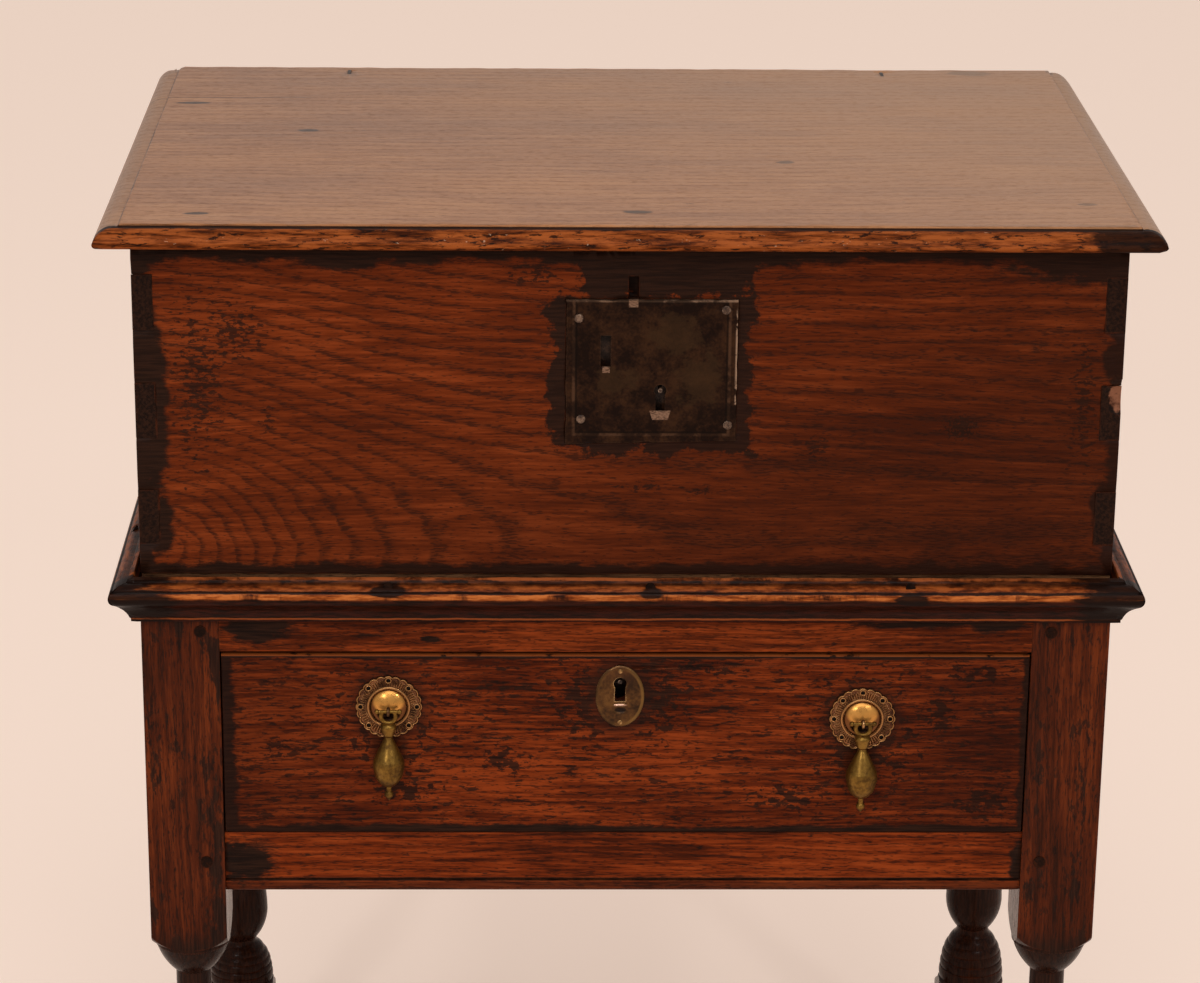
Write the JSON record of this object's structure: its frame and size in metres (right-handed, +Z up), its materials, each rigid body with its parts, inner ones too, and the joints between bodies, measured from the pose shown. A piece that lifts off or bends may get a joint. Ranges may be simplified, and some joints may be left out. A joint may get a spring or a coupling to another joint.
{
  "type": "box on stand",
  "caption": "Dovetailed oak box with a snipe-hinged lid and iron lock plate, set loose in the moulded rim of a turned-leg stand with a drawer and brass drop handles.",
  "frame": {"origin": "on the floor, under the centre of the whole object's plan", "axes": "+X to the right-hand side, -Y the front with the drawer, +Z up"},
  "size_m": [0.736, 0.5156, 0.9295],
  "materials": {
    "oak_stand": "old waxed oak, red-brown, blackened in the turnings",
    "oak_box": "old waxed oak, orange-brown with blackened patches",
    "oak_lid": "old waxed oak, satin, greyish brown on top",
    "oak_drawer": "old waxed oak, red-brown with dark specks",
    "oak_inside": "dry unfinished oak",
    "iron": "hand-forged iron, dark brown with rust",
    "brass": "antique brass, worn bright on the high points"
  },
  "bodies": {
    "stand": {"leg_front_left": "oak_stand", "leg_front_right": "oak_stand", "leg_back_left": "oak_stand", "leg_back_right": "oak_stand", "rail_front_bottom": "oak_stand", "rail_front_top": "oak_stand", "rail_back": "oak_stand", "rail_side_left": "oak_stand", "rail_side_right": "oak_stand", "rail_pegs": "oak_stand", "stretcher_front": "oak_stand", "stretcher_back": "oak_stand", "stretcher_left": "oak_stand", "stretcher_right": "oak_stand", "stretcher_pegs": "oak_stand", "moulding_front": "oak_stand", "moulding_left": "oak_stand", "moulding_right": "oak_stand", "moulding_nails": "iron", "runner_left": "oak_inside", "runner_right": "oak_inside", "kicker_left": "oak_inside", "kicker_right": "oak_inside", "runner_nails": "iron"},
    "box": {"box_front": "oak_box", "box_back": "oak_box", "box_side_left": "oak_box", "box_side_right": "oak_box", "box_bottom": "oak_box", "box_bottom_nails": "iron", "lock_plate": "iron", "lock_plate_nails": "iron", "lock_case": "iron", "lock_pin": "iron", "hinge_eyes_box": "iron"},
    "lid": {"lid_board": "oak_lid", "hinge_eyes_lid": "iron"},
    "lock_bolt": {"lock_bolt": "iron"},
    "drawer": {"drawer_front": "oak_drawer", "drawer_side_left": "oak_inside", "drawer_side_right": "oak_inside", "drawer_back": "oak_inside", "drawer_bottom": "oak_inside", "drawer_bottom_nails": "iron", "drawer_lock_case": "iron", "drawer_lock_nails": "iron", "drawer_lock_pin": "iron", "escutcheon": "brass", "escutcheon_pins": "brass", "handle_plate_left": "brass", "handle_plate_right": "brass", "handle_cotter_left": "brass", "handle_cotter_right": "brass"},
    "drawer_lock_bolt": {"drawer_lock_bolt": "iron"},
    "handle_drop_left": {"handle_drop_left": "brass"},
    "handle_drop_right": {"handle_drop_right": "brass"}
  },
  "joints": [
    {"name": "box_lift", "type": "slide", "parent": "stand", "child": "box", "axis": [0, 0, 1], "range_m": [0, 0.05]},
    {"name": "lid_hinge", "type": "hinge", "parent": "box", "child": "lid", "pos_m": [0, 0.25265, 0.9105], "axis": [-1, 0, 0], "range_deg": [0, 100]},
    {"name": "lock_bolt_slide", "type": "slide", "parent": "box", "child": "lock_bolt", "axis": [-1, 0, 0], "range_m": [0, 0.013]},
    {"name": "drawer_slide", "type": "slide", "parent": "stand", "child": "drawer", "axis": [0, -1, 0], "range_m": [0, 0.3]},
    {"name": "drawer_lock_bolt_slide", "type": "slide", "parent": "drawer", "child": "drawer_lock_bolt", "axis": [0, 0, 1], "range_m": [0, 0.008]},
    {"name": "handle_drop_left_hinge", "type": "hinge", "parent": "drawer", "child": "handle_drop_left", "pos_m": [-0.17, -0.24695, 0.5718], "axis": [-1, 0, 0], "range_deg": [0, 170]},
    {"name": "handle_drop_right_hinge", "type": "hinge", "parent": "drawer", "child": "handle_drop_right", "pos_m": [0.17, -0.24695, 0.5627], "axis": [-1, 0, 0], "range_deg": [0, 170]}
  ]
}
